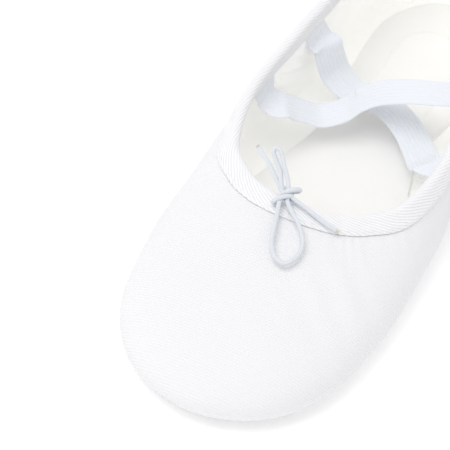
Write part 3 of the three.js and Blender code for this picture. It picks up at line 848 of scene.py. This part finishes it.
def patch_outline(low, high, corner_depth=9):
    """A sole patch: the floor line a little outside, cut off by an end bowed in the middle."""
    whole = outline_of(FLOOR_RAIL, -1.5)
    ends_behind = high < HEEL_Y
    limit = high - corner_depth if ends_behind else low + corner_depth
    kept = whole[whole[:, 1] <= limit] if ends_behind else whole[whole[:, 1] >= limit]
    right = kept[kept[:, 0] > 0]
    corner = right[np.argmax(right[:, 1])] if ends_behind else right[np.argmin(right[:, 1])]
    angle = np.linspace(0, np.pi, 44)[1:-1]
    tip = high if ends_behind else low
    bow = np.stack([corner[0] * np.cos(angle),
                    corner[1] + (tip - corner[1]) * np.sin(angle)], axis=1)
    away = (limit - kept[:, 1]) * (1 if ends_behind else -1)
    left_to_right = np.argsort(np.arctan2(kept[:, 0], away))
    return np.vstack([bow, kept[left_to_right]])


def make_soles():
    """Two suede patches and the forefoot and heel cushions."""
    front = pad("outsole front", patch_outline(TOE_Y - 3, 5), (TOE_Y + BALL_HALF, -40), 0.45, 0,
                1.5, SUEDE, "sole_suede")
    heel = pad("outsole heel", patch_outline(42, HEEL_Y + 3), (74, SPINE[1]), 0.45, 0, 1.5,
               SUEDE, "sole_suede")
    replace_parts(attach(front, "slipper"), "outsole_front")
    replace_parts(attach(heel, "slipper"), "outsole_heel")
    turned = outline_of(TURN_RAIL, 0.8)
    for name, kept, spine in (("forefoot cushion", turned[turned[:, 1] < -22], (TOE_Y + 36, -40)),
                              ("heel cushion", turned[turned[:, 1] > 66], (76, 92))):
        centre = kept.mean(axis=0)
        order = np.argsort(np.arctan2(*(kept - centre).T))
        cushion = pad(name, kept[order], spine, 0.6, 1.8, 3.5, FOAM, "cushion_foam", fill=6)
        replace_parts(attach(cushion, "slipper"), name.replace(" ", "_"))


def insole_lift(x, y, inner):
    """The sock is slightly domed, and shows the heel pad under it as a low step."""
    half = 12.5 * np.sqrt(np.clip(1 - np.clip((y - 76) / 13, 0, 1) ** 2, 0, 1)) + 2 * (y < 40)
    pad_edge = smoothstep(0, 1, (half - np.abs(x)) / 1.6) * smoothstep(38, 46, y)
    pad_edge = pad_edge * (1 - smoothstep(88, 90, y))
    return 0.35 * smoothstep(0, 0.2, inner) + 0.9 * pad_edge + 0.12 * undulation(x, y)


def make_insole():
    """The sock that the foot stands on."""
    sock = pad("insole sock", outline_of(FLOOR_RAIL, 0.8), SPINE, 0.6, 3.8, 5, SOCK, "sock_cloth",
               lift=insole_lift, fill=34)
    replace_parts(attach(sock, "slipper"), "insole_sock")


make_soles()
make_insole()


# Crossed elastic straps
TAB_TOP = UNDER_BINDING + 2.4
HINGE_DROP = TAB_TOP + 2.9
TAB_STAND_OFF = 0.95          # the strap end inward of the lining
TAB_OFFSET = -(HALF_WALL + TAB_STAND_OFF + STRAP_THICKNESS / 2)
HINGE_CLEARANCE = 1.2


def along_wall(station):
    """The top line's direction beside a tab, towards the heel."""
    ahead, _ = on_wall(station + 0.2, TAB_TOP, 0)
    behind, _ = on_wall(station - 0.2, TAB_TOP, 0)
    along = unit(ahead - behind)
    return along * np.sign(along[1])


def strap_stops(left_station, right_station, sag):
    """Points and width directions from one sewn end to the other, and the two hinge points.
    Each end comes out from under the binding, lies on the lining, then leaves the wall."""
    tabs = [on_wall(station, HINGE_DROP, TAB_OFFSET) for station in (left_station, right_station)]
    direction = unit(tabs[1][0] - tabs[0][0])
    hinges = []
    for station in (left_station, right_station):
        slant = STRAP_WIDTH / 2 * abs(along_wall(station).dot(direction))
        stand_off = STRAP_THICKNESS + slant + HINGE_CLEARANCE
        hinges.append(on_wall(station, HINGE_DROP, TAB_OFFSET - stand_off)[0])
    line = hinges[1] - hinges[0]
    across = unit(np.array([-line[1], line[0], 0]))
    middle = [hinges[0] + share * line + np.array([0, shift, -drop]) for share, drop, shift in sag]
    ends = []
    for station in (left_station, right_station):
        along = along_wall(station)
        along = along * np.sign(along.dot(across))
        places = ((UNDER_BINDING - 0.8, 1.25, 0), (UNDER_BINDING + 0.6, 0.9, 0.05),
                  (TAB_TOP, 0, 0.2), (HINGE_DROP - 0.9, -1.2, 0.5))
        ends.append([(on_wall(station, down, TAB_OFFSET + inward)[0],
                      unit(along * (1 - turn) + across * turn))
                     for down, inward, turn in places])
    stops = ends[0] + [(point, across) for point in (hinges[0], *middle, hinges[1])]
    stops += ends[1][::-1]
    return stops, hinges


def ribbon(name, path, widths, from_end, material, slot):
    """Ribbed elastic along a path: eight round ribs side by side with narrow grooves between,
    the edges thinner than the middle.  Its sewn end is pressed flat under the binding."""
    tangent = unit(np.gradient(path, axis=0))
    across = unit(widths - np.sum(widths * tangent, axis=1, keepdims=True) * tangent)
    up = np.cross(tangent, across)
    place = np.linspace(-1, 1, 65)
    rib = place * 4 - np.floor(place * 4)
    half = STRAP_THICKNESS / 2 * (0.62 + 0.38 * np.sqrt(np.sin(np.pi * rib)))
    half = half * (1 - 0.75 * np.abs(place) ** 16)
    pressed = 0.3 + 0.7 * smoothstep(0.5, 3.2, from_end)[:, None, None]
    cup = -0.35 * place ** 2
    drawn = 0.93 + 0.07 * smoothstep(2, 11, from_end)[:, None, None]
    flat = path[:, None] + across[:, None] * drawn * (place * STRAP_WIDTH / 2)[None, :, None]
    top = flat + up[:, None] * pressed * (cup + half)[None, :, None]
    bottom = flat + up[:, None] * pressed * (cup - half)[None, :, None]
    run = lengths_along(path)[:, None]
    uv = np.stack(np.broadcast_arrays(place[None] * STRAP_WIDTH / 2, run), axis=-1) * MM
    return sheet_of_cloth(name, top, bottom, uv, material, slot)


# Each stop of a span: its share of the way between the hinges, how far it hangs below their
# line and how far it lies towards the heel.
UPPER_SAG = [(0.03, 0.3, 0.6), (0.09, 5, 4), (0.222, 10.6, 6.2), (0.342, 9.5, 7.2), (0.42, 6, 8.2),
             (0.526, 3, 7.6), (0.724, 0.3, 4), (0.88, -0.2, 1.2)]
LOWER_SAG = [(0.03, 4, 0.8), (0.09, 11.5, 3.5), (0.2, 15, 6.9), (0.344, 14.8, 10.7),
             (0.514, 13.6, 14.4), (0.682, 13.6, 14.3), (0.794, 13.8, 12.2), (0.88, 11.5, 8.5),
             (0.94, 5, 3), (0.98, 0.8, 0.4)]


def make_strap(name, left_station, right_station, sag):
    """One elastic strap, as two halves that meet in the middle of the span."""
    stops, hinges = strap_stops(left_station, right_station, sag)
    path = open_curve([point for point, _ in stops], 900)
    widths = open_curve([width for _, width in stops], 900)
    even = evenly(np.hstack([path, widths]), 0.55)
    path, widths = even[:, :3], even[:, 3:]
    run = lengths_along(path)
    from_end = np.minimum(run, run[-1] - run)
    middle = len(path) // 2
    for side, part, hinge, station in (("left", slice(0, middle + 1), hinges[0], left_station),
                                       ("right", slice(middle, None), hinges[1], right_station)):
        half = ribbon(f"{name} {side}", path[part], widths[part], from_end[part], STRAP,
                      "strap_elastic")
        _, out = on_wall(station, HINGE_DROP, 0)
        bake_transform(half)
        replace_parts(half, f"{name}_tab_{side}")
        if side == "left":
            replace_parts(half, f"{name}_span")
        make_tab_stitches(name, side, station)


def make_tab_stitches(name, side, station):
    """The row of stitches that holds a strap's end to the lining."""
    along = along_wall(station)
    rows = []
    centre, out = on_wall(station, TAB_TOP - 0.2, TAB_OFFSET)
    for place in (-4, -1.4, 1.4, 4):
        rows.append((centre + place * along, along, out))
    centres, directions, outs = (np.array(column) for column in zip(*rows))
    piece = stitches(f"{name} {side} stitches", centres - outs * 0.62, directions, -outs, THREAD,
                     "strap_elastic", length=1.8, radius=0.14)
    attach(piece, "slipper")


make_strap("strap_upper", -5.33, 6.33, UPPER_SAG)
make_strap("strap_lower", -6.33, 5.33, LOWER_SAG)


# Bow: the two free ends of the drawstring
# Where the knot is, and the stops of each cord as steps from it.
KNOT_LIFT = 1.3
KNOT_HEIGHT = THROAT_HEIGHT + ROLL_OUTER + LAYER_GAP + KNOT_LIFT + CORD_RADIUS
KNOT = np.array([-3, THROAT_Y - 0.5, KNOT_HEIGHT])
FRONT_LOOP = [(-1.1, -2.6, -0.6), (0, -6.8, -2.2), (1.3, -11.6, -3.5), (3.5, -18, -5),
              (7.1, -22.2, -5.8), (10.4, -22.8, -6), (12.8, -19, -5.3), (12.4, -13.6, -4.1),
              (8.4, -8, -2.6), (4, -4.6, -1.5), (1.4, -2.3, -0.6)]
BACK_LOOP = [(-2.4, 1.2, 1.6), (-5, 4.4, 4.6), (-8.1, 6.4, 7.5), (-9.3, 7.3, 9.2), (-9, 8.2, 10.3),
             (-7.5, 8.3, 10.1), (-6.1, 7.4, 8.4), (-4.3, 5.7, 6.2), (-2, 3.7, 3.8), (-0.6, 1.7, 2.4)]
LEFT_END = [(-2.2, 0.5, 0.8), (-4.9, 2.4, 2), (-8.3, 5.0, 3.6), (-11.8, 7.3, 5),
            (-15.6, 9.6, 6.2)]
RIGHT_END = [(3.2, -0.4, -0.2), (7, -1, -1), (12, -2, -2.1), (16.2, -2.6, -3.2),
             (19.6, -2.6, -3.9)]
LEFT_EXIT = [(3.5, 0.45, -3.8), (3.6, 0.3, -2.8), (2.5, -0.1, -2), (0.6, -1, -1.5)]
RIGHT_EXIT = [(2.7, 0.6, -3.5), (1.7, 0.2, -2.7), (-0.2, -1.2, -2.5)]


def knot_wraps():
    """Two turns round the middle of the bow, from its toe side to its heel side."""
    axis = unit(np.array([0.42, 0.85, 0.38]))
    side = unit(np.array([0.86, 0.5, 0.25]))
    top = unit(np.cross(side, axis))
    angle = np.linspace(-0.9 * np.pi, 3.1 * np.pi, 34)[:, None]
    along = np.linspace(-3.5, 3.3, 34)[:, None]
    return axis * along + 2.4 * side * np.sin(angle) + 1.7 * top * np.cos(angle)


def make_cord(name, opening, route, nodes):
    """One free end of the drawstring, from the casing's open end, by its route from the knot."""
    inside = surface(np.array([opening * 6, opening * 2]), np.zeros((2, 1)))[:, 0]
    path = evenly(open_curve(np.vstack([inside, np.array(route) + KNOT]), 900), 0.17)
    cord = tube(name, path, CORD_RADIUS, CORD, "cord_elastic", braid=0.07)
    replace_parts(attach(cord, "slipper"), *nodes)
    return cord, path, inside[1]


def make_fray(name, tip, direction, count, material, spread, reach, radius):
    """Short threads that stand out of a cut end, each a thin bent tapering spike."""
    pieces = []
    start_side = unit(np.cross(direction, [0.3, 0.2, 1]))
    other_side = np.cross(direction, start_side)
    share = np.linspace(0, 1, 5)[:, None]
    for number in range(count):
        angle = 2 * np.pi * number / count + rng.uniform(-0.3, 0.3)
        away = math.cos(angle) * start_side + math.sin(angle) * other_side
        length = reach * rng.uniform(0.5, 1)
        path = (tip + away * CORD_RADIUS * 0.75 * rng.uniform(0.3, 1) - direction * 0.3
                + direction * length * share + away * spread * length * share ** 2)
        pieces.append(path)
    angle = np.linspace(0, 2 * np.pi, 4, endpoint=False)
    girth = radius * np.array([1, 1, 0.9, 0.7, 0.3])
    rings = np.array([path[:, None] + girth[:, None, None]
                      * (np.cos(angle)[None, :, None] * start_side
                         + np.sin(angle)[None, :, None] * other_side) for path in pieces])
    quads, _, _ = grid_faces(5, 4, False, True)
    one = np.vstack([quads, [[0, 1, 2, 3], [19, 18, 17, 16]]])
    faces = (one[None] + 20 * np.arange(count)[:, None, None]).reshape(-1, 4)
    points = rings.reshape(-1, 3)
    fray = new_piece(name, points, faces, points[faces][..., :2] * MM, material, "cord_elastic")
    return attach(fray, "slipper")


def make_bow():
    """The left cord makes the front loop and the left end; the right one wraps the knot and
    makes the back loop and the right end."""
    left, left_path, left_exit = make_cord(
        "bow cord left", -CORD_EXIT,
        [*LEFT_EXIT, *FRONT_LOOP, (0.2, -0.6, 0), *LEFT_END],
        ["bow_loop_front", "bow_end_left"])
    right, right_path, right_exit = make_cord(
        "bow cord right", CORD_EXIT,
        [*RIGHT_EXIT, *knot_wraps(), *BACK_LOOP, (0.6, 0.3, 0.6), *RIGHT_END],
        ["bow_loop_back", "bow_end_right", "bow_knot"])
    left_fray = make_fray("left frayed end", left_path[-1], unit(left_path[-1] - left_path[-4]),
                          22, FRAY, 0.2, 1.5, 0.09)
    core = make_fray("right rubber core", right_path[-1], unit(right_path[-1] - right_path[-4]),
                     9, RUBBER, 0.02, 1.5, 0.2)


make_bow()


# Floor, light and view settings
def make_floor():
    """A large plain white floor that glows a little, so that shadows on it stay faint."""
    size = 4
    mesh = bpy.data.meshes.new("floor")
    mesh.from_pydata([(-size, -size, 0), (size, -size, 0), (size, size, 0), (-size, size, 0)], [],
                     [(0, 1, 2, 3)])
    floor = bpy.data.objects.new("floor", mesh)
    floor.location.z = -0.0001
    material = bpy.data.materials.new("floor")
    material.use_nodes = True
    shader = material.node_tree.nodes["Principled BSDF"]
    shader.inputs["Base Color"].default_value = (0.86, 0.86, 0.86, 1)
    shader.inputs["Roughness"].default_value = 1
    shader.inputs["Specular IOR Level"].default_value = 0
    shader.inputs["Emission Color"].default_value = (1, 1, 1, 1)
    shader.inputs["Emission Strength"].default_value = 0.24
    mesh.materials.append(material)
    bpy.context.scene.collection.objects.link(floor)


def make_light(name, place, target, size, power, colour):
    """A square soft light that faces its target."""
    data = bpy.data.lights.new(name, "AREA")
    data.shape = "SQUARE"
    data.size = size
    data.energy = power
    data.color = colour
    light = bpy.data.objects.new(name, data)
    light.location = place
    light.rotation_mode = "QUATERNION"
    light.rotation_quaternion = (Vector(target) - Vector(place)).to_track_quat("-Z", "Y")
    bpy.context.scene.collection.objects.link(light)


def make_world():
    """An even white surround."""
    world = bpy.data.worlds.new("surround")
    world.use_nodes = True
    background = world.node_tree.nodes["Background"]
    background.inputs["Color"].default_value = (1, 1, 1, 1)
    background.inputs["Strength"].default_value = 0.81
    bpy.context.scene.world = world
    bpy.context.scene.view_settings.view_transform = "Standard"


make_floor()
make_world()
make_light("key", (-0.25, -0.3, 1.1), (0, -0.03, 0.01), 0.8, 4.6, (1.0, 0.99, 1.0))
